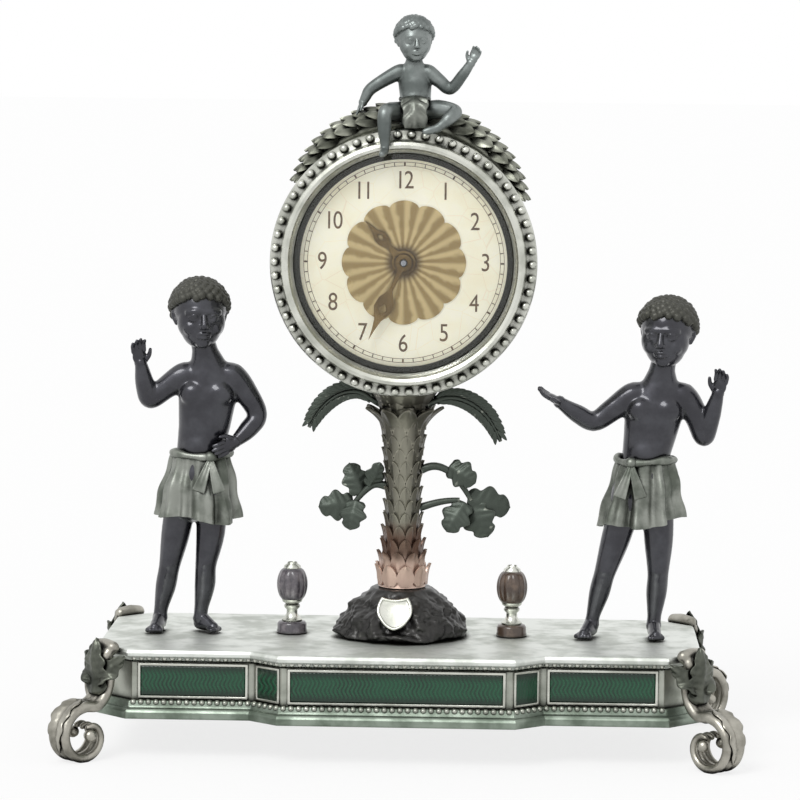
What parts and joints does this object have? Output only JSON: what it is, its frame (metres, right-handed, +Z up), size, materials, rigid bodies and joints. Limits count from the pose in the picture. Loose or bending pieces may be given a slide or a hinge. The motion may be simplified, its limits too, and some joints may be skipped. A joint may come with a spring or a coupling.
{
  "type": "desk clock",
  "caption": "Figural desk clock: a drum clock on a palm stem between standing boys, with a seated child on a garland above and an enamelled silver base on scroll feet.",
  "frame": {"origin": "on the table under the middle of the object", "axes": "+X to the viewer's right, +Y to the back, +Z up; the dial faces -Y"},
  "size_m": [0.2028, 0.0948, 0.2173],
  "materials": {
    "pale_silver": "polished silver, slightly warm",
    "grey_silver": "silver with grey tone in the hollows",
    "old_silver": "oxidised silver",
    "green_enamel": "translucent green enamel on metal",
    "dark_bronze": "dark patinated bronze",
    "palm_bronze": "brown patinated bronze",
    "leaf_bronze": "grey green patinated bronze",
    "steel": "bright steel",
    "brass": "lacquered brass",
    "cream_enamel": "cream enamel on metal",
    "gilt": "matt gilding",
    "dark_gilt": "darkened gilding",
    "clear_glass": "clear domed glass"
  },
  "bodies": {
    "clock_body": {"platform_plate": "pale_silver", "apron_frame": "grey_silver", "base_moulding": "grey_silver", "front_centre_panel": "green_enamel", "front_left_panel": "green_enamel", "front_right_panel": "green_enamel", "left_side_panel": "green_enamel", "right_side_panel": "green_enamel", "back_panel": "green_enamel", "foot_front_left": "old_silver", "foot_front_right": "old_silver", "foot_back_left": "old_silver", "foot_back_right": "old_silver", "left_urn": "old_silver", "right_urn": "old_silver", "mound": "dark_bronze", "cartouche": "pale_silver", "palm_trunk": "palm_bronze", "palm_crown": "palm_bronze", "frond_left": "leaf_bronze", "frond_right": "leaf_bronze", "branch_left": "leaf_bronze", "branch_right": "leaf_bronze", "tie_rod": "steel", "tie_rod_foot_nut": "steel", "tie_rod_head_nut": "steel", "left_figure": "dark_bronze", "left_skirt": "grey_silver", "right_figure": "dark_bronze", "right_skirt": "grey_silver", "left_figure_nut": "steel", "right_figure_nut": "steel", "drum_case": "grey_silver", "crest_garland": "leaf_bronze", "crest_putto": "old_silver", "bezel": "pale_silver", "bezel_glass": "clear_glass", "dial_plate": "cream_enamel", "dial_rosette": "gilt", "front_plate": "brass", "back_plate": "brass", "balance_cock": "brass", "door_hinge_pin": "steel"},
    "back_door": {"back_door": "grey_silver"},
    "minute_work": {"minute_arbor": "steel", "cannon_pinion": "steel", "minute_hand": "dark_gilt", "set_knob": "brass"},
    "minute_wheel": {"minute_wheel": "brass"},
    "hour_work": {"hour_wheel": "brass", "hour_hand": "dark_gilt"},
    "barrel": {"mainspring_barrel": "brass"},
    "winding_arbor": {"winding_arbor": "steel"},
    "click": {"click": "steel"},
    "centre_wheel": {"centre_wheel": "brass"},
    "third_wheel": {"third_wheel": "brass"},
    "fourth_wheel": {"fourth_wheel": "brass"},
    "escape_wheel": {"escape_wheel": "steel"},
    "pallet_lever": {"pallet_lever": "steel"},
    "balance": {"balance_wheel": "brass"}
  },
  "joints": [
    {"name": "back_door_hinge", "type": "hinge", "parent": "clock_body", "child": "back_door", "pos_m": [-0.039, 0.0173, 0.1451], "axis": [0, 0, 1], "range_deg": [0, 120]},
    {"name": "minute_hand_turn", "type": "hinge", "parent": "clock_body", "child": "minute_work", "pos_m": [0, 0, 0.1451], "axis": [0, 1, 0], "continuous": true},
    {"name": "minute_wheel_turn", "type": "hinge", "parent": "clock_body", "child": "minute_wheel", "pos_m": [0.004, 0, 0.13817], "axis": [0, 1, 0], "continuous": true},
    {"name": "hour_hand_turn", "type": "hinge", "parent": "clock_body", "child": "hour_work", "pos_m": [0, 0, 0.1451], "axis": [0, 1, 0], "continuous": true},
    {"name": "fourth_wheel_turn", "type": "hinge", "parent": "clock_body", "child": "fourth_wheel", "pos_m": [0.01375, 0, 0.14883], "axis": [0, 1, 0], "continuous": true},
    {"name": "third_wheel_turn", "type": "hinge", "parent": "clock_body", "child": "third_wheel", "pos_m": [0.00594, 0, 0.15539], "axis": [0, 1, 0], "continuous": true},
    {"name": "centre_wheel_turn", "type": "hinge", "parent": "clock_body", "child": "centre_wheel", "pos_m": [0, 0, 0.1451], "axis": [0, 1, 0], "continuous": true},
    {"name": "barrel_turn", "type": "hinge", "parent": "clock_body", "child": "barrel", "pos_m": [-0.01353, 0, 0.14017], "axis": [0, 1, 0], "continuous": true},
    {"name": "escape_wheel_turn", "type": "hinge", "parent": "clock_body", "child": "escape_wheel", "pos_m": [0.01061, 0, 0.14019], "axis": [0, 1, 0], "continuous": true},
    {"name": "pallet_lever_rock", "type": "hinge", "parent": "clock_body", "child": "pallet_lever", "pos_m": [0.00816, 0, 0.13493], "axis": [0, 1, 0], "range_deg": [-8, 8]},
    {"name": "balance_swing", "type": "hinge", "parent": "clock_body", "child": "balance", "pos_m": [0.00528, 0, 0.12877], "axis": [0, 1, 0], "range_deg": [-135, 135], "stiffness_Nm_per_rad": 0.000002},
    {"name": "winding_arbor_turn", "type": "hinge", "parent": "clock_body", "child": "winding_arbor", "pos_m": [-0.01353, 0, 0.14017], "axis": [0, -1, 0], "range_deg": [0, 1800]},
    {"name": "click_lift", "type": "hinge", "parent": "clock_body", "child": "click", "pos_m": [-0.01509, 0, 0.14904], "axis": [0, -1, 0], "range_deg": [0, 15], "stiffness_Nm_per_rad": 0.00005}
  ],
  "couplings": [
    {"joint": "minute_wheel_turn", "follows": "minute_hand_turn", "ratio": -0.33333},
    {"joint": "hour_hand_turn", "follows": "minute_hand_turn", "ratio": 0.083333},
    {"joint": "third_wheel_turn", "follows": "fourth_wheel_turn", "ratio": -0.13333},
    {"joint": "centre_wheel_turn", "follows": "fourth_wheel_turn", "ratio": 0.016667},
    {"joint": "barrel_turn", "follows": "fourth_wheel_turn", "ratio": -0.0033333},
    {"joint": "escape_wheel_turn", "follows": "fourth_wheel_turn", "ratio": -6.6667}
  ]
}
